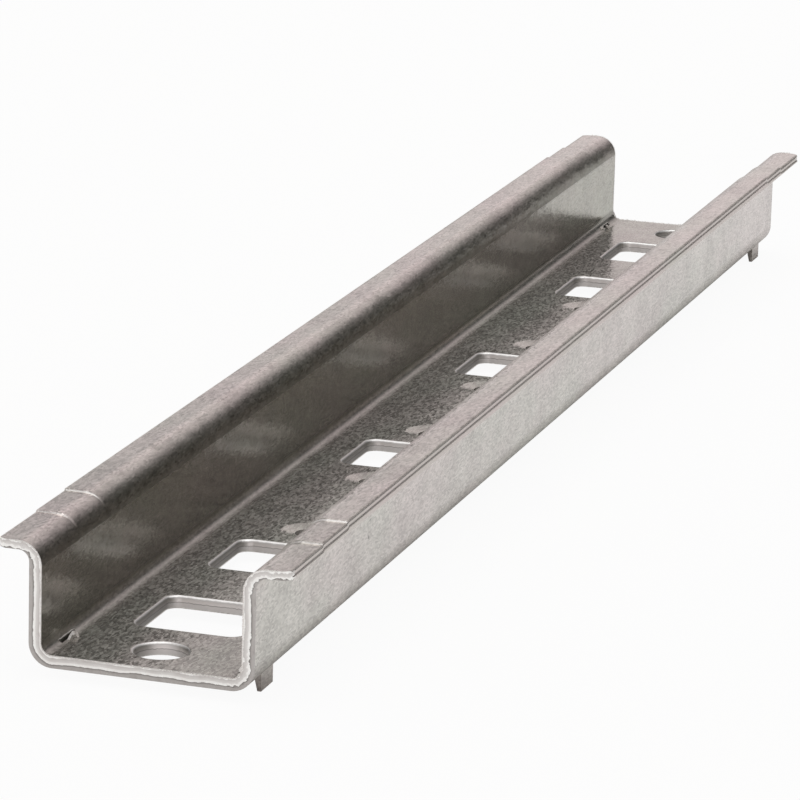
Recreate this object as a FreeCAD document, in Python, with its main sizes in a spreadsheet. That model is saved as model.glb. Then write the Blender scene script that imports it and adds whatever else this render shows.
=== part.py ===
"""Perforated top-hat mounting rail, 35 mm wide and 15 mm deep, cut to a short length.

The rail is one strip of zinc-coated steel, roll-formed and punched: a flat base, two walls
and two outward flanges. X runs across the rail, Y along it and Z up, with the channel open
upward. The origin is below the middle of the rail, level with the tips of its four lugs.
"""
import FreeCAD, Part
import math
import os
import Sketcher

Vector = FreeCAD.Vector

# Driving dimensions in millimetres. Everything else follows from these.
SIZES = {
    "rail_length": 241.5,
    "flange_span": 35.0,
    "wall_span": 27.0,
    "rail_depth": 15.0,
    "sheet": 1.5,
    "bend_inside": 1.3,
    "edge_round_top": 0.25,
    "edge_round_under": 0.15,
    "edge_ledge": 0.12,
    "edge_ledge_down": 0.72,
    "flange_corner": 1.8,
    "corner_clear": 0.1,
    "slot_along": 12.5,
    "slot_across": 13.0,
    "slot_corner": 1.5,
    "rim_round": 0.4,
    "slot_first": 25.0,
    "slot_second": 75.0,
    "slot_third": 100.0,
    "screw_bore": 6.2,
    "screw_end_margin": 6.5,
    "pilot_bore": 3.4,
    "pilot_dish": 7.0,
    "pilot_dish_depth": 0.3,
    "pilot_first": 12.5,
    "pilot_second": 37.5,
    "pilot_third": 62.5,
    "lug_drop": 1.2,
    "lug_inset": 0.75,
    "lug_root": 1.1,
    "lug_tip": 0.45,
    "lug_length": 4.0,
    "lug_end_margin": 4.5,
    "slit_width": 0.45,
    "coin_long": 20.3,
    "coin_short": 11.5,
    "coin_step": 0.22,
    "coin_slope": 0.25,
}

# Heights and half widths as sheet expressions, with the rail standing on its lug tips.
BASE_UNDER = "Sizes.lug_drop"
BASE_TOP = "(Sizes.lug_drop + Sizes.sheet)"
FLANGE_TOP = "(Sizes.lug_drop + Sizes.rail_depth)"
FLANGE_UNDER = "(Sizes.lug_drop + Sizes.rail_depth - Sizes.sheet)"
WALL_OUTER = "(Sizes.wall_span / 2)"
WALL_INNER = "(Sizes.wall_span / 2 - Sizes.sheet)"
FLANGE_OUTER = "(Sizes.flange_span / 2)"
RAIL_END = "(Sizes.rail_length / 2)"
BEND_OUTSIDE = "(Sizes.bend_inside + Sizes.sheet)"
LUG_OUTER = "(Sizes.wall_span / 2 - Sizes.lug_inset)"
LUG_INNER = "(Sizes.wall_span / 2 - Sizes.lug_inset - Sizes.lug_root)"
TOLERANCE = 1e-4


def make_sheet(doc):
    """Put every driving dimension into an aliased cell."""
    sheet = doc.addObject("Spreadsheet::Sheet", "Sizes")
    for row, (name, value) in enumerate(SIZES.items(), start=1):
        cell = "B%d" % row
        sheet.set("A%d" % row, name)
        sheet.set(cell, str(value))
        sheet.setAlias(cell, name)
    doc.recompute()
    return sheet


def value_of(sheet, expression):
    """Work out a sheet expression as a plain number."""
    return float(sheet.evalExpression(expression.replace("Sizes.", "")))


def origin_plane(body, role):
    """Return one of the body's own origin planes."""
    for feature in body.Origin.OriginFeatures:
        if feature.Role == role:
            return feature
    raise ValueError("no origin plane " + role)


def new_sketch(body, name, role, height=None):
    """Attach an empty sketch to an origin plane, moved along its normal by an expression."""
    sketch = body.newObject("Sketcher::SketchObject", name)
    sketch.AttachmentSupport = [(origin_plane(body, role), "")]
    sketch.MapMode = "FlatFace"
    if height:
        sketch.setExpression("AttachmentOffset.Base.z", height)
    return sketch


def tie_point(sheet, sketch, line, kind, expression):
    """Tie the start of a line to the sketch origin, across or up, by a sheet expression."""
    distance = value_of(sheet, expression)
    ends = (-1, 1, line, 1) if distance >= 0 else (line, 1, -1, 1)
    index = sketch.addConstraint(Sketcher.Constraint(kind, *ends, abs(distance)))
    sketch.setExpression("Constraints[%d]" % index, expression if distance >= 0 else "-" + expression)


def add_outline(sheet, sketch, corners):
    """Draw a closed outline tied to the sheet; a corner given with a radius is rounded.

    Each corner is its distance across, its distance up and, between lines that are level
    or upright, a radius.
    """
    count = len(corners)
    points = [Vector(value_of(sheet, corner[0]), value_of(sheet, corner[1]), 0) for corner in corners]
    radii = [value_of(sheet, corner[2]) if len(corner) == 3 else 0 for corner in corners]
    ahead = [(points[(i + 1) % count] - points[i]).normalize() for i in range(count)]
    lines = []
    for i in range(count):
        start = points[i] + ahead[i] * radii[i]
        end = points[(i + 1) % count] - ahead[i] * radii[(i + 1) % count]
        lines.append(sketch.addGeometry(Part.LineSegment(start, end), False))
    for i, corner in enumerate(corners):
        if radii[i]:
            join_with_arc(sketch, points[i], radii[i], ahead[i - 1], ahead[i], lines[i - 1], lines[i])
        else:
            sketch.addConstraint(Sketcher.Constraint("Coincident", lines[i - 1], 2, lines[i], 1))
        across, up = corner[:2]
        if radii[i] and abs(ahead[i].x) > TOLERANCE:
            across = "(%s %s %s)" % (across, "+" if ahead[i].x > 0 else "-", corner[2])
        elif radii[i]:
            up = "(%s %s %s)" % (up, "+" if ahead[i].y > 0 else "-", corner[2])
        tie_point(sheet, sketch, lines[i], "DistanceX", across)
        tie_point(sheet, sketch, lines[i], "DistanceY", up)


def join_with_arc(sketch, corner, radius, towards, away, line, next_line):
    """Round the corner where one line ends and the next, square to it, begins."""
    middle = corner + (away - towards) * radius * (1 - math.sqrt(0.5))
    arc = sketch.addGeometry(Part.Arc(corner - towards * radius, middle, corner + away * radius), False)
    turns_left = towards.x * away.y > towards.y * away.x
    start, end = (1, 2) if turns_left else (2, 1)
    level = abs(towards.y) < TOLERANCE
    sketch.addConstraint(Sketcher.Constraint("Horizontal" if level else "Vertical", line))
    sketch.addConstraint(Sketcher.Constraint("Tangent", line, 2, arc, start))
    sketch.addConstraint(Sketcher.Constraint("Tangent", arc, end, next_line, 1))


def add_rectangle(sheet, sketch, left, right, low, high):
    """Draw a rectangle between four sheet expressions."""
    add_outline(sheet, sketch, [(left, low), (right, low), (right, high), (left, high)])


def other_side(corners):
    """Mirror the corners of an outline across the rail's middle."""
    return [("-" + corner[0], *corner[1:]) for corner in reversed(corners)]


def add_section(sheet, body, name, place, steps):
    """Draw the hat section at one place along the rail, its flanges pressed down by some steps."""
    top = "(%s - %d * Sizes.coin_step)" % (FLANGE_TOP, steps)
    upper_edge = "(%s - Sizes.edge_ledge)" % FLANGE_OUTER
    right = [
        (WALL_OUTER, BASE_UNDER, BEND_OUTSIDE),
        (WALL_OUTER, FLANGE_UNDER, "Sizes.bend_inside"),
        (FLANGE_OUTER, FLANGE_UNDER, "Sizes.edge_round_under"),
        (FLANGE_OUTER, "(%s - Sizes.edge_ledge_down - Sizes.edge_ledge)" % top),
        (upper_edge, "(%s - Sizes.edge_ledge_down)" % top),
        (upper_edge, top, "Sizes.edge_round_top"),
        (WALL_INNER, top, BEND_OUTSIDE),
        (WALL_INNER, BASE_TOP, "Sizes.bend_inside"),
    ]
    sketch = new_sketch(body, name, "XZ_Plane", place)
    add_outline(sheet, sketch, right + other_side(right))
    return sketch


def loft_half_rail(sheet, body):
    """Loft one half of the rail from its end to its middle, through the two coined steps."""
    short_slope = "(%s - Sizes.coin_short - Sizes.coin_slope)" % RAIL_END
    long_slope = "(%s - Sizes.coin_long - Sizes.coin_slope)" % RAIL_END
    stations = [
        ("EndSection", RAIL_END, 2),
        ("ShortCoinSection", "(%s - Sizes.coin_short)" % RAIL_END, 2),
        ("ShortSlopeSection", short_slope, 1),
        ("LongCoinSection", "(%s - Sizes.coin_long)" % RAIL_END, 1),
        ("LongSlopeSection", long_slope, 0),
        ("MiddleSection", None, 0),
    ]
    sections = [add_section(sheet, body, name, place, steps) for name, place, steps in stations]
    body.Document.recompute()
    loft = body.newObject("PartDesign::AdditiveLoft", "HalfRail")
    loft.Profile = sections[0]
    loft.Sections = sections[1:]
    loft.Ruled = True
    return loft


def slot_centres():
    """Distances of the slots from the middle of the rail, on one half of it."""
    return ("Sizes.slot_first", "Sizes.slot_second", "Sizes.slot_third")


def pocket_through(body, name, sketch):
    """Cut a sketch through everything above and below it."""
    pocket = body.newObject("PartDesign::Pocket", name)
    pocket.Profile = sketch
    pocket.Type = "ThroughAll"
    pocket.SideType = "Symmetric"
    return pocket


def punch_slots(sheet, body):
    """Punch the rectangular slots of one half."""
    sketch = new_sketch(body, "SlotSketch", "XY_Plane")
    for centre in slot_centres():
        low = "-(%s + Sizes.slot_along / 2)" % centre
        high = "-(%s - Sizes.slot_along / 2)" % centre
        add_rectangle(sheet, sketch, "-(Sizes.slot_across / 2)", "(Sizes.slot_across / 2)", low, high)
    return pocket_through(body, "SlotPocket", sketch)


def add_circle(sheet, sketch, along, size):
    """Draw a bore's circle on the centre line, tied to the sheet."""
    centre = Vector(0, value_of(sheet, along), 0)
    diameter = value_of(sheet, size)
    circle = Part.Circle(centre, Vector(0, 0, 1), diameter / 2)
    number = sketch.addGeometry(circle, False)
    sketch.addConstraint(Sketcher.Constraint("PointOnObject", number, 3, -2))
    up = sketch.addConstraint(Sketcher.Constraint("DistanceY", number, 3, -1, 1, -centre.y))
    sketch.setExpression("Constraints[%d]" % up, "-" + along)
    across = sketch.addConstraint(Sketcher.Constraint("Diameter", number, diameter))
    sketch.setExpression("Constraints[%d]" % across, size)


def punch_screw_bore(sheet, body):
    """Punch the screw bore beside the rail's end."""
    sketch = new_sketch(body, "ScrewSketch", "XY_Plane")
    add_circle(sheet, sketch, "-(%s - Sizes.screw_end_margin)" % RAIL_END, "Sizes.screw_bore")
    return pocket_through(body, "ScrewPocket", sketch)


def pierce_pilot_bores(sheet, body):
    """Pierce the small bores between the slots, with the sheet drawn down round each."""
    sketch = new_sketch(body, "PilotSketch", "XY_Plane", BASE_TOP)
    for place in ("Sizes.pilot_first", "Sizes.pilot_second", "Sizes.pilot_third"):
        add_circle(sheet, sketch, "-(%s)" % place, "Sizes.pilot_bore")
    body.Document.recompute()
    bores = body.newObject("PartDesign::Hole", "PilotBores")
    bores.Profile = sketch
    bores.DepthType = "ThroughAll"
    bores.Threaded = False
    bores.setExpression("Diameter", "Sizes.pilot_bore")
    bores.HoleCutType = "Countersink"
    bores.HoleCutCustomValues = True
    bores.setExpression("HoleCutDiameter", "Sizes.pilot_dish")
    dish = "2 * atan((Sizes.pilot_dish - Sizes.pilot_bore) / 2 / Sizes.pilot_dish_depth)"
    bores.setExpression("HoleCutCountersinkAngle", dish)
    return bores


def cut_slits(sheet, body):
    """Cut the slit along each lower bend from which a lug is struck."""
    near = "-(%s - Sizes.lug_end_margin)" % RAIL_END
    inward = "-(%s - Sizes.lug_end_margin - Sizes.lug_length)" % RAIL_END
    slit_inner = "(Sizes.wall_span / 2 - Sizes.lug_inset - Sizes.lug_root - Sizes.slit_width)"
    corners = [(slit_inner, near), (LUG_INNER, near), (LUG_INNER, inward), (slit_inner, inward)]
    sketch = new_sketch(body, "SlitSketch", "XY_Plane")
    add_outline(sheet, sketch, corners)
    add_outline(sheet, sketch, other_side(corners))
    return pocket_through(body, "SlitPocket", sketch)


def pad_lugs(sheet, body):
    """Pad the two tapered lugs that hang from the walls at one end."""
    tip_inner = "(Sizes.wall_span / 2 - Sizes.lug_inset - Sizes.lug_tip)"
    corners = [(LUG_INNER, BASE_TOP), (tip_inner, "0"), (LUG_OUTER, "0"), (LUG_OUTER, BASE_TOP)]
    place = "%s - Sizes.lug_end_margin" % RAIL_END
    sketch = new_sketch(body, "LugSketch", "XZ_Plane", place)
    add_outline(sheet, sketch, corners)
    add_outline(sheet, sketch, other_side(corners))
    pad = body.newObject("PartDesign::Pad", "LugPad")
    pad.Profile = sketch
    pad.Reversed = True
    pad.setExpression("Length", "Sizes.lug_length")
    return pad


def round_flange_corners(sheet, body):
    """Round the outer corners of both flanges at one end, seen from above.

    The straight sides that lead the round in and out stand a little clear of the flange.
    """
    beside = "(%s + Sizes.corner_clear)" % FLANGE_OUTER
    beyond = "-(%s + Sizes.corner_clear)" % RAIL_END
    inner = "(%s - Sizes.flange_corner - Sizes.sheet)" % FLANGE_OUTER
    inside = "-(%s - Sizes.flange_corner - Sizes.sheet)" % RAIL_END
    outer = "(%s + Sizes.sheet)" % FLANGE_OUTER
    outside = "-(%s + Sizes.sheet)" % RAIL_END
    corners = [
        (inner, outside),
        (outer, outside),
        (outer, inside),
        (beside, inside),
        (beside, beyond, "Sizes.flange_corner"),
        (inner, beyond),
    ]
    sketch = new_sketch(body, "FlangeCornerSketch", "XY_Plane")
    add_outline(sheet, sketch, corners)
    add_outline(sheet, sketch, other_side(corners))
    return pocket_through(body, "FlangeCorners", sketch)


def mirror_ends(body, originals):
    """Repeat the features of one half on the other."""
    mirrored = body.newObject("PartDesign::Mirrored", "OtherHalf")
    mirrored.Originals = originals
    mirrored.MirrorPlane = (origin_plane(body, "XZ_Plane"), [""])
    body.Tip = mirrored
    return mirrored


def rim_edges(sheet, shape):
    """Name the top edges of every slot and bore."""
    top = value_of(sheet, BASE_TOP)
    across = value_of(sheet, "Sizes.slot_across / 2")
    end = value_of(sheet, RAIL_END)
    names = []
    for number, edge in enumerate(shape.Edges, start=1):
        box = edge.BoundBox
        level = abs(box.ZMin - top) < TOLERANCE and abs(box.ZMax - top) < TOLERANCE
        inside = box.XMax < across + TOLERANCE and box.XMin > -across - TOLERANCE
        if level and inside and max(abs(box.YMin), abs(box.YMax)) < end - TOLERANCE:
            names.append("Edge%d" % number)
    return names


def slot_corner_edges(sheet, shape):
    """Name the upright edges at the corners of every slot."""
    across = value_of(sheet, "Sizes.slot_across / 2")
    half = value_of(sheet, "Sizes.slot_along / 2")
    centres = [value_of(sheet, centre) for centre in slot_centres()]
    names = []
    for number, edge in enumerate(shape.Edges, start=1):
        box = edge.BoundBox
        upright = box.XLength < TOLERANCE and box.YLength < TOLERANCE
        beside = abs(abs(box.XMin) - across) < TOLERANCE
        at_end = any(abs(abs(abs(box.YMin) - centre) - half) < TOLERANCE for centre in centres)
        if upright and beside and at_end:
            names.append("Edge%d" % number)
    return names


def round_slot_corners(sheet, body, mirrored):
    """Round the corners of the slots, as the punch leaves them."""
    corners = body.newObject("PartDesign::Fillet", "SlotCorners")
    corners.Base = (mirrored, slot_corner_edges(sheet, mirrored.Shape))
    corners.setExpression("Radius", "Sizes.slot_corner")
    body.Tip = corners
    return corners


def round_rims(sheet, body, corners):
    """Round the top rims of the slots and bores, which the punch drew down as it went in."""
    rims = body.newObject("PartDesign::Fillet", "PunchedRims")
    rims.Base = (corners, rim_edges(sheet, corners.Shape))
    rims.setExpression("Radius", "Sizes.rim_round")
    body.Tip = rims


def make_rail(doc, sheet):
    """Build the rail as one body."""
    body = doc.addObject("PartDesign::Body", "Rail")
    body.Label = "din_rail"
    features = [
        loft_half_rail(sheet, body),
        punch_slots(sheet, body),
        punch_screw_bore(sheet, body),
        pierce_pilot_bores(sheet, body),
        cut_slits(sheet, body),
        pad_lugs(sheet, body),
        round_flange_corners(sheet, body),
    ]
    doc.recompute()
    volumes = [feature.Shape.Volume for feature in features]
    print("volumes after each feature:", [round(volume, 1) for volume in volumes])
    mirrored = mirror_ends(body, features)
    doc.recompute()
    corners = round_slot_corners(sheet, body, mirrored)
    doc.recompute()
    round_rims(sheet, body, corners)
    doc.recompute()
    body.Placement = FreeCAD.Placement(Vector(0, 0, 0), FreeCAD.Rotation())
    return body


def check(doc, body):
    """Stop if any object failed or the rail is not one sound solid."""
    for item in doc.Objects:
        if "Invalid" in item.State or "Error" in item.State:
            raise RuntimeError("%s failed: %s" % (item.Name, item.State))
    shape = body.Shape
    if shape.isNull() or not shape.isValid() or len(shape.Solids) != 1:
        raise RuntimeError("the rail is not one valid solid")


def main():
    doc = FreeCAD.newDocument("MountingRail")
    sheet = make_sheet(doc)
    body = make_rail(doc, sheet)
    doc.recompute()
    check(doc, body)
    os.makedirs("parts", exist_ok=True)
    body.Shape.exportStep("parts/%s.step" % body.Label)
    box = body.Shape.BoundBox
    print("volume %.1f mm3, size %.2f x %.2f x %.2f mm" % (body.Shape.Volume, box.XLength,
                                                           box.YLength, box.ZLength))


main()
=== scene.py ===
"""Looks of the perforated mounting rail: hot-dip zinc-coated steel strip, roll-formed and punched.

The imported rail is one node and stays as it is. This script gives it its finish, adds the burrs
that its cutting left, and sets a plain white studio with the camera at the photograph's angle.
"""
import math
import random

import bmesh
import bpy
from mathutils import Matrix, Vector


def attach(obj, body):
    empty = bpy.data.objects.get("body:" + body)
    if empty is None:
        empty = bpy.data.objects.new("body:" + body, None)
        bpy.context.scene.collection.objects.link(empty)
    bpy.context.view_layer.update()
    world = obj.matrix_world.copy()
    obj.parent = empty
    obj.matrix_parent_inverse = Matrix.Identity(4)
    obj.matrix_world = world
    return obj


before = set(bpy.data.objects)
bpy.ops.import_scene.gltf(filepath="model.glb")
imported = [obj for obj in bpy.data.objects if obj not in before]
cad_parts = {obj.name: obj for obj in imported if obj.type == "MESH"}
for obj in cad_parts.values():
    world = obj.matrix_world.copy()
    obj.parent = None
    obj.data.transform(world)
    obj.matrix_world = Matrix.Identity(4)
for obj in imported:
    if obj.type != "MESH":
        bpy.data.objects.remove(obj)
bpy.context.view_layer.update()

MM = 0.001

# The strip's own sizes in millimetres, which its finish and the burrs follow.
SHEET = 1.5
BEND_INSIDE = 1.3
BEND_OUTSIDE = BEND_INSIDE + SHEET
BASE_UNDER = 1.2
BASE_TOP = BASE_UNDER + SHEET
FLANGE_TOP = BASE_UNDER + 15.0
FLANGE_OUTER = 17.38
WALL_INNER = 12.0
WALL_MIDDLE = 8.7
RAIL_END = 120.75
# The coined ends of the flanges: where each of the two steps down lies along the rail, and its depth.
COIN_STARTS = (100.4, 109.2)
COIN_STEP = 0.22
END_FLANGE_TOP = FLANGE_TOP - 2 * COIN_STEP
# Where highlights are painted across the flanges at the coined steps: start and end along the rail, and how
# brightly.
COIN_HIGHLIGHTS = ((-109.28, -109.12, 0.5), (-100.48, -100.32, 0.9), (100.0, 100.4, 0.4), (108.8, 109.2, 0.4))
# How far below the flange's top its slit edge has a ledge.
EDGE_LEDGE_DOWN = 0.72
# The middles of the bends at the rail's end: across and up.
LOWER_BEND = (WALL_INNER - BEND_INSIDE, BASE_TOP + BEND_INSIDE)
UPPER_BEND = (WALL_INNER + BEND_OUTSIDE, END_FLANGE_TOP - BEND_OUTSIDE)
# The punched holes, each placed twice along the rail, the same way from its middle.
SLOT_HALF_ACROSS = 6.5
SLOT_HALF_ALONG = 6.25
SLOT_CORNER = 1.5
SLOT_PLACES = (25.0, 75.0, 100.0)
SCREW_BORE = 6.2
SCREW_PLACE = 114.25
PILOT_BORE = 3.4
PILOT_PLACES = (12.5, 37.5, 62.5)
# The slit beside each lug: its two sides across, and the part along the rail that has torn lips.
SLIT_INNER = 11.2
SLIT_OUTER = 11.65
SLIT_ENDS = (116.25, 112.25)
# The curl of torn metal beside each slit's inward end: across, along and up.
CURL_PATH = ((11.0, 114.8, 2.75), (11.02, 114.1, 3.05), (11.0, 113.3, 3.35), (10.75, 113.1, 3.2),
             (10.4, 113.25, 2.7))

# Two layers of zinc crystals: their size across and along in millimetres, how far each leans, and
# how much further it leans round the upper bends.
CRYSTAL_LAYERS = ((0.9, 2.0, 0.01, 0.05), (0.22, 0.65, 0.05, 0.1))
# How much of the zinc its grey bloom covers: on the base, and up on the walls and flanges.
BLOOM_ON_BASE = 0.31
BLOOM_ABOVE = 0.015

# The table, in metres, and how much of its plain white shows: straight to the camera, and mirrored
# in the rail, with a painted shadow under its base and painted light beside its walls.
TABLE_RADIUS = 4.0
WHITE_SEEN = 0.94
WHITE_UNDER_BASE = 0.05
WHITE_BESIDE_WALLS = 0.68

# The camera, in metres and degrees: a long lens that looks down the rail from the right.
CAMERA_PLACE = Vector((0.18545, -0.61716, 0.17494))
CAMERA_HEADING = 17.434
CAMERA_DOWN = 14.873
CAMERA_ROLL = 1.561
LENS_MM = 223.43
SENSOR_MM = 36.0


def linear(hex_colour):
    """Turn an sRGB hex colour into linear red, green, blue and alpha."""
    parts = [int(hex_colour[i:i + 2], 16) / 255 for i in (1, 3, 5)]
    return tuple(p / 12.92 if p <= 0.04045 else ((p + 0.055) / 1.055) ** 2.4 for p in parts) + (1.0,)


def add_node(tree, kind, links=None, stops=(), **settings):
    """Add a node, set its properties and unlinked inputs, its ramp's stops, and its links.

    A link may also be a plain number, which its input then takes.
    """
    node = tree.nodes.new(kind)
    for name, value in settings.items():
        if hasattr(node, name):
            setattr(node, name, value)
        elif name.startswith("input_"):
            node.inputs[int(name[6:])].default_value = value
        else:
            node.inputs[name.replace("_", " ")].default_value = value
    for name, source in (links or {}).items():
        if isinstance(source, float):
            node.inputs[name].default_value = source
        else:
            tree.links.new(source, node.inputs[name])
    if stops:
        while len(node.color_ramp.elements) < len(stops):
            node.color_ramp.elements.new(0.5)
        for element, (position, colour) in zip(node.color_ramp.elements, stops):
            element.position = position
            element.color = linear(colour)
    return node


def new_material(name):
    """Make an empty node material and return it with its tree."""
    material = bpy.data.materials.new(name)
    material.use_nodes = True
    material.node_tree.nodes.clear()
    return material, material.node_tree


def place_in_mm(tree):
    """Give the surface point in the rail's own millimetres."""
    place = add_node(tree, "ShaderNodeTexCoord")
    return add_node(tree, "ShaderNodeVectorMath", {0: place.outputs["Object"]}, operation="SCALE",
                    Scale=1 / MM).outputs[0]


def all_of(tree, masks):
    """Multiply masks, so that the result holds only where all of them do."""
    result = masks[0]
    for mask in masks[1:]:
        result = add_node(tree, "ShaderNodeMath", {0: result, 1: mask}, operation="MULTIPLY").outputs[0]
    return result


def where(tree, *steps):
    """Say where every value is past its step, as a mask that goes smoothly from 0 to 1.

    A step is a value, the level at which the mask starts and the level at which it is full.
    """
    return all_of(tree, [add_node(tree, "ShaderNodeMapRange", {"Value": value}, From_Min=start,
                                  From_Max=full, interpolation_type="SMOOTHSTEP").outputs[0]
                         for value, start, full in steps])


def weighted_sum(tree, start, *shares):
    """Add values to a start, each times its share; the start is a value or a plain number."""
    total = start
    for value, share in shares:
        total = add_node(tree, "ShaderNodeMath", {0: value, 2: total}, operation="MULTIPLY_ADD",
                         input_1=share).outputs[0]
    return total


def stretched_noise(tree, place, stretch, size, detail):
    """Noise with grains of a size in millimetres, drawn out along the axes whose stretch is below 1."""
    drawn = add_node(tree, "ShaderNodeVectorMath", {0: place}, operation="MULTIPLY", input_1=stretch)
    return add_node(tree, "ShaderNodeTexNoise", {"Vector": drawn.outputs[0]}, Scale=1 / size,
                    Detail=detail).outputs["Fac"]


def crystals(tree, place, bent):
    """Give each of the zinc's crystals its own lean, steeper over the bends, and its own random shade."""
    normal = add_node(tree, "ShaderNodeNewGeometry").outputs["Normal"]
    for across, along, tilt, bent_tilt in CRYSTAL_LAYERS:
        squeezed = add_node(tree, "ShaderNodeVectorMath", {0: place}, operation="MULTIPLY",
                            input_1=(1, across / along, 1))
        cells = add_node(tree, "ShaderNodeTexVoronoi", {"Vector": squeezed.outputs[0]}, Scale=1 / across)
        centred = add_node(tree, "ShaderNodeVectorMath", {0: cells.outputs["Color"]}, operation="SUBTRACT",
                           input_1=(0.5, 0.5, 0.5))
        lean = add_node(tree, "ShaderNodeVectorMath", {0: centred.outputs[0],
                                                       "Scale": weighted_sum(tree, tilt, (bent, bent_tilt))},
                        operation="SCALE")
        normal = add_node(tree, "ShaderNodeVectorMath", {0: normal, 1: lean.outputs[0]},
                          operation="ADD").outputs[0]
    shade = add_node(tree, "ShaderNodeSeparateXYZ", {0: cells.outputs["Color"]}).outputs["X"]
    return add_node(tree, "ShaderNodeVectorMath", {0: normal}, operation="NORMALIZE").outputs[0], shade


def depth_in_sheet(tree, place):
    """Measure from the strip's channel side (0) to its outer side (1), round the bends."""
    mirrored = add_node(tree, "ShaderNodeVectorMath", {0: place}, operation="ABSOLUTE").outputs[0]
    radii = []
    for across, up, sign in ((*LOWER_BEND, 1), (*UPPER_BEND, -1)):
        offset = add_node(tree, "ShaderNodeVectorMath", {0: mirrored}, operation="MULTIPLY_ADD",
                          input_1=(sign, 0, -sign), input_2=(-sign * across, 0, sign * up))
        outside = add_node(tree, "ShaderNodeVectorMath", {0: offset.outputs[0]}, operation="MAXIMUM",
                           input_1=(0, 0, 0))
        radii.append(add_node(tree, "ShaderNodeVectorMath", {0: outside.outputs[0]},
                              operation="LENGTH").outputs["Value"])
    lower = add_node(tree, "ShaderNodeMapRange", {"Value": radii[0]}, From_Min=BEND_INSIDE,
                     From_Max=BEND_OUTSIDE)
    upper = add_node(tree, "ShaderNodeMapRange", {"Value": radii[1]}, From_Min=BEND_OUTSIDE,
                     From_Max=BEND_INSIDE)
    height = add_node(tree, "ShaderNodeSeparateXYZ", {0: place}).outputs["Z"]
    above = where(tree, (height, WALL_MIDDLE - 0.1, WALL_MIDDLE + 0.1))
    return add_node(tree, "ShaderNodeMix", {"Factor": above, "A": lower.outputs[0],
                                            "B": upper.outputs[0]}).outputs[0]


def upper_bends(tree, across, height):
    """Say where the strip was bent round the tops of the walls, which roughened its zinc."""
    return where(tree, (height, FLANGE_TOP - BEND_OUTSIDE - 1.5, FLANGE_TOP - BEND_OUTSIDE + 1.0),
                 (across, UPPER_BEND[0] + 0.5, UPPER_BEND[0] - 1.0))


def bend_roughness(tree, across, height):
    """Give the roughness that forming added round both bends of the channel side, most at the crown."""
    above = (height, FLANGE_TOP - BEND_OUTSIDE - 0.4, FLANGE_TOP - BEND_OUTSIDE - 0.3)
    upper = where(tree, above, (across, UPPER_BEND[0] - 0.75, UPPER_BEND[0] - 0.85))
    steep = where(tree, above, (across, UPPER_BEND[0] - 0.8, UPPER_BEND[0] - 2.0))
    lower = where(tree, (across, LOWER_BEND[0], LOWER_BEND[0] + 0.1),
                  (height, LOWER_BEND[1] + 0.2, LOWER_BEND[1] + 0.1))
    return weighted_sum(tree, 0.0, (lower, 0.1), (steep, 0.12), (upper, 0.1))


def painted_wall_shade(tree, across, height):
    """Say where painted shade darkens and greys the zinc: up the channel side of the walls."""
    return where(tree, (across, WALL_INNER + 1.0, WALL_INNER + 0.1),
                 (height, LOWER_BEND[1] - 0.8, LOWER_BEND[1]))


def painted_bend_shade(tree, across, height):
    """Say where painted shade darkens the channel side further: in the hollow of the lower bends and under
    the crown of the upper.
    """
    near_bends = add_node(tree, "ShaderNodeMath",
                          {0: where(tree, (height, LOWER_BEND[1] + 0.4, LOWER_BEND[1])),
                           1: where(tree, (height, UPPER_BEND[1] - 0.5, UPPER_BEND[1]))},
                          operation="MAXIMUM")
    on_walls = where(tree, (across, WALL_INNER - 1.1, WALL_INNER - 0.7),
                     (across, WALL_INNER + 0.6, WALL_INNER + 0.2))
    return all_of(tree, [near_bends.outputs[0], on_walls])


def painted_edge_lines(tree, across, along, height):
    """Say where two dark lines of painted shade run along each flange's edge: just below its rounded top and
    over its ledge.
    """
    level = height
    for start in COIN_STARTS:
        level = weighted_sum(tree, level, (where(tree, (along, start - 0.2, start)), COIN_STEP))
    ledge = FLANGE_TOP - EDGE_LEDGE_DOWN
    lines = [where(tree, (level, low - 0.03, low), (level, high + 0.03, high))
             for low, high in ((ledge - 0.02, ledge + 0.11), (FLANGE_TOP - 0.27, FLANGE_TOP - 0.16))]
    either = add_node(tree, "ShaderNodeMath", {0: lines[0], 1: lines[1]}, operation="MAXIMUM").outputs[0]
    return all_of(tree, [either, where(tree, (across, FLANGE_OUTER - 0.2, FLANGE_OUTER - 0.15))])


def dark_specks(tree, place):
    """Say where a few dark specks of dross sit in the zinc, none much over half a millimetre wide."""
    cells = add_node(tree, "ShaderNodeTexVoronoi", {"Vector": place}, Scale=1 / 5.0)
    chosen = add_node(tree, "ShaderNodeSeparateXYZ", {0: cells.outputs["Color"]}).outputs["X"]
    return where(tree, (cells.outputs["Distance"], 0.055, 0.035), (chosen, 0.7, 0.71))


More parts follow.
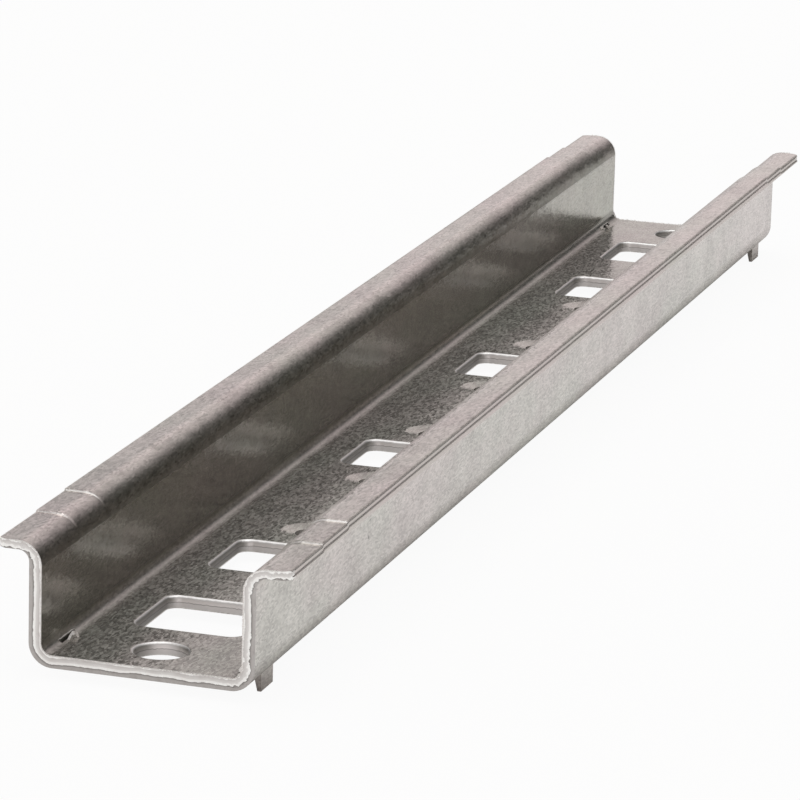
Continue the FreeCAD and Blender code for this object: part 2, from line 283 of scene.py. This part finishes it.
def zinc_face(tree, place, across, along, height):
    """The zinc itself: a crystal grain with blotches 6 mm wide, upright streaks and fine rolling lines.

    A thin grey bloom over the shiny metal spreads a little of the light widely, most on the base,
    because the rolls ironed the walls.
    """
    normal, shade = crystals(tree, place, upper_bends(tree, across, height))
    blotches = stretched_noise(tree, place, (1, 1, 1), 6.0, 4.0)
    upright_streaks = stretched_noise(tree, place, (0.1, 1, 0.1), 1.6, 3.0)
    rolling_lines = stretched_noise(tree, place, (1, 0.02, 1), 0.8, 2.0)
    slit_edge = where(tree, (across, FLANGE_OUTER - 0.1, FLANGE_OUTER - 0.02))
    tone = weighted_sum(tree, 0.0, (shade, 0.95), (blotches, 1.1), (upright_streaks, 0.35),
                        (rolling_lines, 0.25), (slit_edge, 1.6))
    level = add_node(tree, "ShaderNodeMapRange", {"Value": tone}, From_Min=0.45, From_Max=2.25)
    colour = add_node(tree, "ShaderNodeValToRGB", {"Fac": level.outputs[0]},
                      stops=((0.1, "#A4A19E"), (0.5, "#C5C3BF"), (0.9, "#DFDCD9")))
    tint = add_node(tree, "ShaderNodeValToRGB", {"Fac": stretched_noise(tree, place, (1, 0.4, 1), 8.0, 2.0)},
                    stops=((0.35, "#FFF7F7"), (0.65, "#FBFAF6")))
    # Painted shade: the channel side of the walls is darkened to grey-green.
    wall_shade_ramp = add_node(tree, "ShaderNodeValToRGB", {"Fac": painted_wall_shade(tree, across, height)},
                    stops=((0.0, "#FFFFFF"), (1.0, "#CFD0C9")))
    wall_shaded = add_node(tree, "ShaderNodeVectorMath", {0: colour.outputs[0], 1: wall_shade_ramp.outputs[0]},
                      operation="MULTIPLY")
    tinted = add_node(tree, "ShaderNodeVectorMath", {0: wall_shaded.outputs[0], 1: tint.outputs[0]},
                      operation="MULTIPLY")
    # Real dark dross specks, with painted shade in the bends and painted dark lines along the flange edges.
    specks_and_shade = ((dark_specks(tree, place), 0.7), (painted_bend_shade(tree, across, height), 0.14),
              (painted_edge_lines(tree, across, along, height), 0.5))
    left_undarkened = all_of(tree, [weighted_sum(tree, 1.0, (darkening, -darker)) for darkening, darker in specks_and_shade])
    flecked_and_shaded = add_node(tree, "ShaderNodeVectorMath", {0: tinted.outputs[0], "Scale": left_undarkened},
                       operation="SCALE").outputs[0]
    edge = where(tree, (across, FLANGE_OUTER - 0.4, FLANGE_OUTER - 0.2))
    roughness = weighted_sum(tree, 0.18, (shade, 0.06), (bend_roughness(tree, across, height), 1.0),
                             (edge, 0.35))
    shiny = add_node(tree, "ShaderNodeBsdfPrincipled", {"Base Color": flecked_and_shaded, "Roughness": roughness,
                                                        "Normal": normal}, Metallic=1.0)
    greyish = add_node(tree, "ShaderNodeVectorMath", {0: flecked_and_shaded}, operation="MULTIPLY",
                       input_1=(0.94, 1.0, 0.98))
    bloom = add_node(tree, "ShaderNodeBsdfPrincipled", {"Base Color": greyish.outputs[0]}, Metallic=1.0,
                     Roughness=0.75)
    thickness = add_node(tree, "ShaderNodeMapRange", {"Value": height}, From_Min=BASE_TOP + 0.3,
                         From_Max=BASE_TOP + 1.8, To_Min=BLOOM_ON_BASE, To_Max=BLOOM_ABOVE)
    cover = all_of(tree, [thickness.outputs[0], weighted_sum(tree, 0.6, (shade, 0.8))])
    return add_node(tree, "ShaderNodeMixShader", {"Fac": cover, 1: shiny.outputs[0],
                                                  2: bloom.outputs[0]}).outputs[0]


def sheared_face(tree, place):
    """The cut ends: bright torn steel, then a dark line and the smeared outer side.

    They are most ragged low on the right, where the cut broke out, and round the upper bends.
    """
    streaks = stretched_noise(tree, place, (1, 1, 1), 0.5, 4.0)
    wander = stretched_noise(tree, place, (1, 1, 1), 3.0, 1.0)
    parts = add_node(tree, "ShaderNodeSeparateXYZ", {0: place})
    right, height = parts.outputs["X"], parts.outputs["Z"]
    across = add_node(tree, "ShaderNodeMath", {0: right}, operation="ABSOLUTE").outputs[0]
    torn = where(tree, (right, 8.0, 12.0), (height, 10.0, 4.0))
    frayed = where(tree, (across, 11.0, 13.0), (height, 11.0, 13.5))
    ragged = add_node(tree, "ShaderNodeMath",
                      {0: streaks, 1: weighted_sum(tree, 0.14, (frayed, 0.5), (torn, 0.45)),
                       2: weighted_sum(tree, depth_in_sheet(tree, place), (wander, 0.3))},
                      operation="MULTIPLY_ADD")
    depth = weighted_sum(tree, ragged.outputs[0], (frayed, -0.25), (torn, -0.22))
    colour = add_node(tree, "ShaderNodeValToRGB", {"Fac": depth},
                      stops=((0.3, "#FBFAF7"), (0.38, "#CDC9C6"), (0.62, "#E2DFDC"), (0.7, "#FBFAF7"),
                             (0.83, "#FBFAF7"), (0.86, "#6E6B68"), (0.91, "#A5A19E"), (1.0, "#BAB6B3")))
    roughness = add_node(tree, "ShaderNodeMapRange", {"Value": streaks}, From_Min=0.3, From_Max=0.7,
                         To_Min=0.25, To_Max=0.6)
    return add_node(tree, "ShaderNodeBsdfPrincipled", {"Base Color": colour.outputs[0],
                                                       "Roughness": roughness.outputs[0]},
                    Metallic=1.0).outputs[0]


def punched_face(tree, place, height, lengthwise):
    """The walls of slots and bores: burnished above, then a dark tear line and grey torn metal.

    The punch drew the wall down in upright flutes, so that it looks up a little. Walls that face
    along the rail are painted lighter and those that face across it darker: painted light and shade.
    """
    flutes = stretched_noise(tree, place, (1, 1, 0.12), 0.35, 2.0)
    drawn = add_node(tree, "ShaderNodeCombineXYZ", {2: weighted_sum(tree, 0.05, (flutes, 0.5))})
    facing = add_node(tree, "ShaderNodeNewGeometry").outputs["Normal"]
    tilted = add_node(tree, "ShaderNodeVectorMath", {0: facing, 1: drawn.outputs[0]}, operation="ADD")
    normal = add_node(tree, "ShaderNodeVectorMath", {0: tilted.outputs[0]}, operation="NORMALIZE")
    level = add_node(tree, "ShaderNodeMapRange", {"Value": height}, From_Min=BASE_UNDER, From_Max=BASE_TOP)
    ragged = weighted_sum(tree, level.outputs[0], (flutes, 0.16))
    colour = add_node(tree, "ShaderNodeValToRGB", {"Fac": ragged},
                      stops=((0.06, "#F8F7F5"), (0.14, "#ECEAE8"), (0.5, "#F0EEEC"), (0.54, "#A09D9B"),
                             (0.6, "#F4F2F0"), (0.9, "#E0DEDB"), (1.0, "#FBFAF8")))
    # Painted light and shade: walls facing along the rail are made brighter, those facing across darker.
    facing_lit_colour = add_node(tree, "ShaderNodeVectorMath",
                      {0: colour.outputs[0], "Scale": weighted_sum(tree, 0.6, (lengthwise, 0.4))},
                      operation="SCALE")
    roughness = add_node(tree, "ShaderNodeMapRange", {"Value": level.outputs[0]}, From_Min=0.4,
                         From_Max=0.5, To_Min=0.65, To_Max=0.45)
    return add_node(tree, "ShaderNodeBsdfPrincipled", {"Base Color": facing_lit_colour.outputs[0],
                                                       "Roughness": roughness.outputs[0],
                                                       "Normal": normal.outputs[0]}, Metallic=1.0).outputs[0]


def painted_coin_highlights(tree, place, height):
    """Say where highlights are painted in lines across the flanges at the coined steps, and how bright they
    are.
    """
    along = add_node(tree, "ShaderNodeSeparateXYZ", {0: place}).outputs["Y"]
    lines = [(where(tree, (along, start - 0.02, start + 0.02), (along, end + 0.02, end - 0.02)), bright)
             for start, end, bright in COIN_HIGHLIGHTS]
    on_flanges = where(tree, (height, FLANGE_TOP - 1.0, FLANGE_TOP - 0.5))
    return all_of(tree, [weighted_sum(tree, 0.0, *lines), on_flanges])


def zinc_coated_steel():
    """Hot-dip zinc on rolled steel, with its cut ends and punched holes left bare, and painted highlights
    along its coined lines.

    To the eye it is a satin grey mirror, mottled by fine crystals and dull where the strip was bent,
    and the bare steel is brighter.
    """
    material, tree = new_material("hot_dip_zinc_coated_steel")
    place = place_in_mm(tree)
    distances = add_node(tree, "ShaderNodeVectorMath", {0: place}, operation="ABSOLUTE")
    parts = add_node(tree, "ShaderNodeSeparateXYZ", {0: distances.outputs[0]})
    across, along, height = (parts.outputs[axis] for axis in "XYZ")
    facing = add_node(tree, "ShaderNodeNewGeometry").outputs["Normal"]
    steepness = add_node(tree, "ShaderNodeVectorMath", {0: facing}, operation="ABSOLUTE")
    turned = add_node(tree, "ShaderNodeSeparateXYZ", {0: steepness.outputs[0]})
    lengthwise, upward = turned.outputs["Y"], turned.outputs["Z"]
    in_holes = where(tree, (across, SLOT_HALF_ACROSS + 0.6, SLOT_HALF_ACROSS + 0.5),
                     (along, RAIL_END - 0.5, RAIL_END - 0.6), (upward, 0.97, 0.9))
    at_end = where(tree, (along, RAIL_END - 0.03, RAIL_END - 0.01))
    at_corner = where(tree, (along, RAIL_END - 1.7, RAIL_END - 1.6),
                      (across, FLANGE_OUTER - 1.7, FLANGE_OUTER - 1.6), (upward, 0.6, 0.4))
    cut = add_node(tree, "ShaderNodeMath", {0: at_end, 1: at_corner}, operation="MAXIMUM").outputs[0]
    # A painted highlight: bright steel laid along the coined steps.
    coin_highlight_steel = add_node(tree, "ShaderNodeBsdfPrincipled", Base_Color=linear("#F4F2EF"), Metallic=1.0,
                        Roughness=0.3)
    surface = zinc_face(tree, place, across, along, height)
    for mask, face in ((in_holes, punched_face(tree, place, height, lengthwise)),
                       (cut, sheared_face(tree, place)),
                       (painted_coin_highlights(tree, place, height), coin_highlight_steel.outputs[0])):
        surface = add_node(tree, "ShaderNodeMixShader", {0: mask, 1: surface, 2: face}).outputs[0]
    add_node(tree, "ShaderNodeOutputMaterial", {"Surface": surface})
    return material


def torn_steel():
    """Bare steel torn by the shear and the punch: a rough bright lip, which glitters a little."""
    material, tree = new_material("torn_bare_steel")
    specks = add_node(tree, "ShaderNodeTexNoise", {"Vector": place_in_mm(tree)}, Scale=1 / 0.2, Detail=2.0)
    colour = add_node(tree, "ShaderNodeValToRGB", {"Fac": specks.outputs["Fac"]},
                      stops=((0.35, "#E4E1DD"), (0.6, "#FBFAF8")))
    roughness = add_node(tree, "ShaderNodeMapRange", {"Value": specks.outputs["Fac"]}, To_Min=0.6,
                         To_Max=0.95)
    steel = add_node(tree, "ShaderNodeBsdfPrincipled", {"Base Color": colour.outputs[0],
                                                        "Roughness": roughness.outputs[0]}, Metallic=1.0)
    add_node(tree, "ShaderNodeOutputMaterial", {"Surface": steel.outputs[0]})
    return material


def arc(centre, radius, start, end, step):
    """Points and outward directions along an arc in a plane, its angles in degrees."""
    count = max(2, math.ceil(abs(math.radians(end - start)) * radius / step))
    turns = [math.radians(start + (end - start) * i / count) for i in range(count + 1)]
    return [((centre[0] + radius * math.cos(t), centre[1] + radius * math.sin(t)),
             (math.cos(t), math.sin(t))) for t in turns]


def straight(start, end, facing, step):
    """Points along a straight edge in a plane, which all face the same way."""
    count = max(2, math.ceil(math.dist(start, end) / step))
    return [(tuple(a + (b - a) * i / count for a, b in zip(start, end)), facing) for i in range(count)]


def channel_side(step):
    """The strip's channel side at the rail's end, from its left edge over the base to its right."""
    right = straight((FLANGE_OUTER - 1.4, END_FLANGE_TOP), (UPPER_BEND[0], END_FLANGE_TOP), (0, 1), step)
    right += arc(UPPER_BEND, BEND_OUTSIDE, 90, 180, step)
    right += straight((WALL_INNER, UPPER_BEND[1]), (WALL_INNER, LOWER_BEND[1]), (-1, 0), step)[1:]
    right += [(point, (-nx, -nz)) for point, (nx, nz) in arc(LOWER_BEND, BEND_INSIDE, 0, -90, step)]
    right += straight((LOWER_BEND[0], BASE_TOP), (0, BASE_TOP), (0, 1), step)[1:]
    left = [((-x, z), (-nx, nz)) for (x, z), (nx, nz) in right]
    return left + list(reversed(right))


def hole_rim(centre, half_across, half_along, corner, step):
    """The rim of a punched hole seen from above, each point facing the hole's middle."""
    rim = []
    for quarter, (sx, sy) in enumerate(((1, 1), (-1, 1), (-1, -1), (1, -1))):
        turn = (centre[0] + sx * (half_across - corner), centre[1] + sy * (half_along - corner))
        rim += [(point, (-nx, -ny)) for point, (nx, ny) in
                arc(turn, corner, 90 * quarter, 90 * quarter + 90, step)]
    filled = []
    for (point, facing), (after, _) in zip(rim, rim[1:] + rim[:1]):
        is_side = math.dist(point, after) > 2 * step
        filled += straight(point, after, facing, step) if is_side else [(point, facing)]
    return filled


def add_burr(shape, stations, width, closed):
    """Add a thin three-sided ridge along an edge; each station is point, way out, face and reach."""
    rings = []
    for point, out, face, reach in stations:
        corners = (point - out * width, point + out * reach + face * reach * 0.4, point - face * width)
        rings.append([shape.verts.new(corner * MM) for corner in corners])
    pairs = list(zip(rings, rings[1:] + rings[:1])) if closed else list(zip(rings, rings[1:]))
    for ring, after in pairs:
        for i in range(3):
            shape.faces.new((ring[i], ring[(i + 1) % 3], after[(i + 1) % 3], after[i]))
    if not closed:
        shape.faces.new(rings[0])
        shape.faces.new(reversed(rings[-1]))


def put_piece(name, shape, material):
    """Turn a finished shape into a piece of the rail with its own finish."""
    bmesh.ops.recalc_face_normals(shape, faces=shape.faces)
    mesh = bpy.data.meshes.new(name)
    shape.to_mesh(mesh)
    shape.free()
    mesh.materials.append(material)
    piece = bpy.data.objects.new(name, mesh)
    bpy.context.collection.objects.link(piece)
    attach(piece, "root")
    return piece


def end_burrs(material):
    """The ragged lip that the cut left along the channel side of both ends, worst at the lower right."""
    ragged = random.Random(7)
    shape = bmesh.new()
    for side in (-1, 1):
        stations = []
        lazy = 0.5
        for (x, z), (nx, nz) in channel_side(0.14):
            # The lip wanders slowly, and single sharp teeth stand up from it.
            lazy += (ragged.random() - lazy) * 0.3
            on_wall = abs(x) > WALL_INNER - 0.5 and BASE_TOP + 1.5 < z < END_FLANGE_TOP
            roughest = 0.3 if on_wall else 2.0 if x > 10.5 and z < WALL_MIDDLE else 1.0
            reach = 0.03 + roughest * (0.14 * lazy + 0.22 * ragged.random() ** 3)
            stations.append((Vector((x, side * RAIL_END, z)), Vector((0, side, 0)), Vector((nx, 0, nz)),
                             reach))
        add_burr(shape, stations, 0.12, closed=False)
    return put_piece("end_burrs", shape, material)


def hole_burrs(material):
    """The fine lips that the punch pushed out under the base, round every slot and bore."""
    ragged = random.Random(11)
    slot = (SLOT_HALF_ACROSS, SLOT_HALF_ALONG, SLOT_CORNER)
    screw, pilot = (SCREW_BORE / 2,) * 3, (PILOT_BORE / 2,) * 3
    holes = [(place, slot) for place in SLOT_PLACES] + [(SCREW_PLACE, screw)]
    holes += [(place, pilot) for place in PILOT_PLACES]
    shape = bmesh.new()
    for place, size in holes:
        for side in (-1, 1):
            reach, spread = (0.3, 0.6) if size is pilot else (0.04, 0.2)
            stations = [(Vector((x, y, BASE_UNDER)), Vector((0, 0, -1)), Vector((nx, ny, 0)) * 0.1,
                         reach * (1 + spread * (ragged.random() - 0.5)))
                        for (x, y), (nx, ny) in hole_rim((0, side * place), *size, 0.3)]
            add_burr(shape, stations, 0.1, closed=True)
    return put_piece("hole_burrs", shape, material)


def slit_burrs(material):
    """The lips that stand up round the inward end of each lug's slit, where the punch tore the bend."""
    ragged = random.Random(5)
    shape = bmesh.new()
    for side, end in ((-1, -1), (1, -1), (-1, 1), (1, 1)):
        near, inward = SLIT_ENDS
        # Low lips along the slit, then higher ones round its end: place, the way it faces and reach.
        path = [((SLIT_OUTER, near + (inward - near) * i / 14), (-1, 0), 0.2 + 0.01 * i) for i in range(14)]
        path += [((SLIT_OUTER, inward), (-0.7, 0.7), 0.4), ((SLIT_INNER + 0.15, inward), (0, 1), 0.35),
                 ((SLIT_INNER, inward + 0.3), (1, 0), 0.25), ((SLIT_INNER, inward + 0.9), (1, 0), 0.12)]
        stations = []
        for (x, y), (fx, fy), reach in path:
            sink = math.sqrt(BEND_INSIDE ** 2 - (x - LOWER_BEND[0]) ** 2)
            up = Vector((side * (LOWER_BEND[0] - x), 0, sink)) / BEND_INSIDE
            stations.append((Vector((side * x, end * y, LOWER_BEND[1] - sink)), up,
                             Vector((side * fx, end * fy, 0)), reach * (0.75 + 0.5 * ragged.random())))
        add_burr(shape, stations, 0.16, closed=False)
        curl = [(Vector((side * x, end * y, z)), Vector((side, 0, -0.3)), Vector((0, 0, 1.25)), 0.16)
                for x, y, z in CURL_PATH]
        add_burr(shape, curl, 0.16, closed=False)
    return put_piece("slit_burrs", shape, material)


def studio_floor():
    """A wide matt white table, which shows nearly white and keeps the rail's shadow.

    The white that the rail mirrors is painted: a painted shadow below its base and painted light
    beside its walls.
    """
    material, tree = new_material("matt_white_table")
    matt = add_node(tree, "ShaderNodeBsdfDiffuse", Color=linear("#F2F2F0"))
    white = add_node(tree, "ShaderNodeEmission", Color=linear("#FFFFFF"), Strength=1.0)
    path = add_node(tree, "ShaderNodeLightPath")
    mirrored = add_node(tree, "ShaderNodeMath", {0: path.outputs["Is Glossy Ray"],
                                                 1: path.outputs["Is Transmission Ray"]},
                        operation="MAXIMUM")
    distances = add_node(tree, "ShaderNodeVectorMath", {0: place_in_mm(tree)}, operation="ABSOLUTE")
    parts = add_node(tree, "ShaderNodeSeparateXYZ", {0: distances.outputs[0]})
    # Painted light and shadow in the mirrored white: full beside the walls and ends, faint under the base.
    painted_light_beside = add_node(tree, "ShaderNodeMath",
                      {0: where(tree, (parts.outputs["X"], WALL_INNER, WALL_INNER + 6.0)),
                       1: where(tree, (parts.outputs["Y"], RAIL_END - 1.0, RAIL_END + 9.0))},
                      operation="MAXIMUM")
    bright = weighted_sum(tree, WHITE_UNDER_BASE, (painted_light_beside.outputs[0], WHITE_BESIDE_WALLS))
    share = weighted_sum(tree, all_of(tree, [mirrored.outputs[0], bright]),
                         (path.outputs["Is Camera Ray"], WHITE_SEEN))
    mix = add_node(tree, "ShaderNodeMixShader", {0: share, 1: matt.outputs[0], 2: white.outputs[0]})
    add_node(tree, "ShaderNodeOutputMaterial", {"Surface": mix.outputs[0]})
    mesh = bpy.data.meshes.new("table")
    shape = bmesh.new()
    bmesh.ops.create_circle(shape, cap_ends=True, segments=64, radius=TABLE_RADIUS)
    shape.to_mesh(mesh)
    shape.free()
    mesh.materials.append(material)
    table = bpy.data.objects.new("table", mesh)
    bpy.context.collection.objects.link(table)


def studio_world():
    """White walls, greyer overhead and far left, with a dark screen behind the rail that leans right."""
    world = bpy.data.worlds.new("studio")
    bpy.context.scene.world = world
    world.use_nodes = True
    tree = world.node_tree
    tree.nodes.clear()
    towards = add_node(tree, "ShaderNodeTexCoord").outputs["Generated"]
    parts = add_node(tree, "ShaderNodeSeparateXYZ", {0: towards})
    right, away, up = (parts.outputs[axis] for axis in "XYZ")
    height = add_node(tree, "ShaderNodeMath", {0: up}, operation="MAXIMUM", input_1=0.02)
    slant = add_node(tree, "ShaderNodeMath", {0: right, 1: height.outputs[0]}, operation="DIVIDE")
    screen = where(tree, (slant.outputs[0], -0.05, 1.1), (away, -0.3, 0.1), (up, 0.0, 0.04), (up, 0.85, 0.7))
    far_left = where(tree, (right, -0.2, -0.38), (up, 0.15, 0.25))
    overhead = where(tree, (up, 0.45, 0.6))
    greyer = add_node(tree, "ShaderNodeMath", {0: overhead, 1: far_left}, operation="MAXIMUM")
    walls = add_node(tree, "ShaderNodeValToRGB", {"Fac": greyer.outputs[0]},
                     stops=((0.0, "#F5ECEC"), (1.0, "#C1BEBE")))
    shades = add_node(tree, "ShaderNodeValToRGB", {"Fac": screen},
                      stops=((0.0, "#FFFFFF"), (1.0, "#464B49")))
    colour = add_node(tree, "ShaderNodeVectorMath", {0: walls.outputs[0], 1: shades.outputs[0]},
                      operation="MULTIPLY")
    sky = add_node(tree, "ShaderNodeBackground", {"Color": colour.outputs[0]}, Strength=1.0)
    add_node(tree, "ShaderNodeOutputWorld", {"Surface": sky.outputs[0]})


def soft_lamp(name, place, size, watts):
    """Hang a square soft lamp that points at the rail."""
    lamp = bpy.data.lights.new(name, "AREA")
    lamp.size = size
    lamp.energy = watts
    holder = bpy.data.objects.new(name, lamp)
    holder.location = place
    holder.rotation_euler = (-Vector(place)).to_track_quat("-Z", "Y").to_euler()
    bpy.context.collection.objects.link(holder)


def camera():
    """Set the camera where the photograph was taken from."""
    lens = bpy.data.cameras.new("camera")
    lens.lens = LENS_MM
    lens.sensor_width = SENSOR_MM
    lens.clip_start = 0.01
    holder = bpy.data.objects.new("camera", lens)
    heading = Matrix.Rotation(math.radians(CAMERA_HEADING), 4, "Z")
    tilt = Matrix.Rotation(math.radians(90 - CAMERA_DOWN), 4, "X")
    roll = Matrix.Rotation(math.radians(CAMERA_ROLL), 4, "Z")
    holder.matrix_world = Matrix.Translation(CAMERA_PLACE) @ heading @ tilt @ roll
    bpy.context.collection.objects.link(holder)
    bpy.context.scene.camera = holder


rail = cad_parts["din_rail"]
finish = zinc_coated_steel()
for slot in rail.material_slots:
    slot.material = finish
bare = torn_steel()
end_burrs(bare)
hole_burrs(bare)
slit_burrs(bare)
studio_floor()
studio_world()
soft_lamp("overhead_softbox", (0.0, 0.2, 1.3), 1.0, 5.0)
camera()
bpy.context.scene.view_settings.view_transform = "Standard"
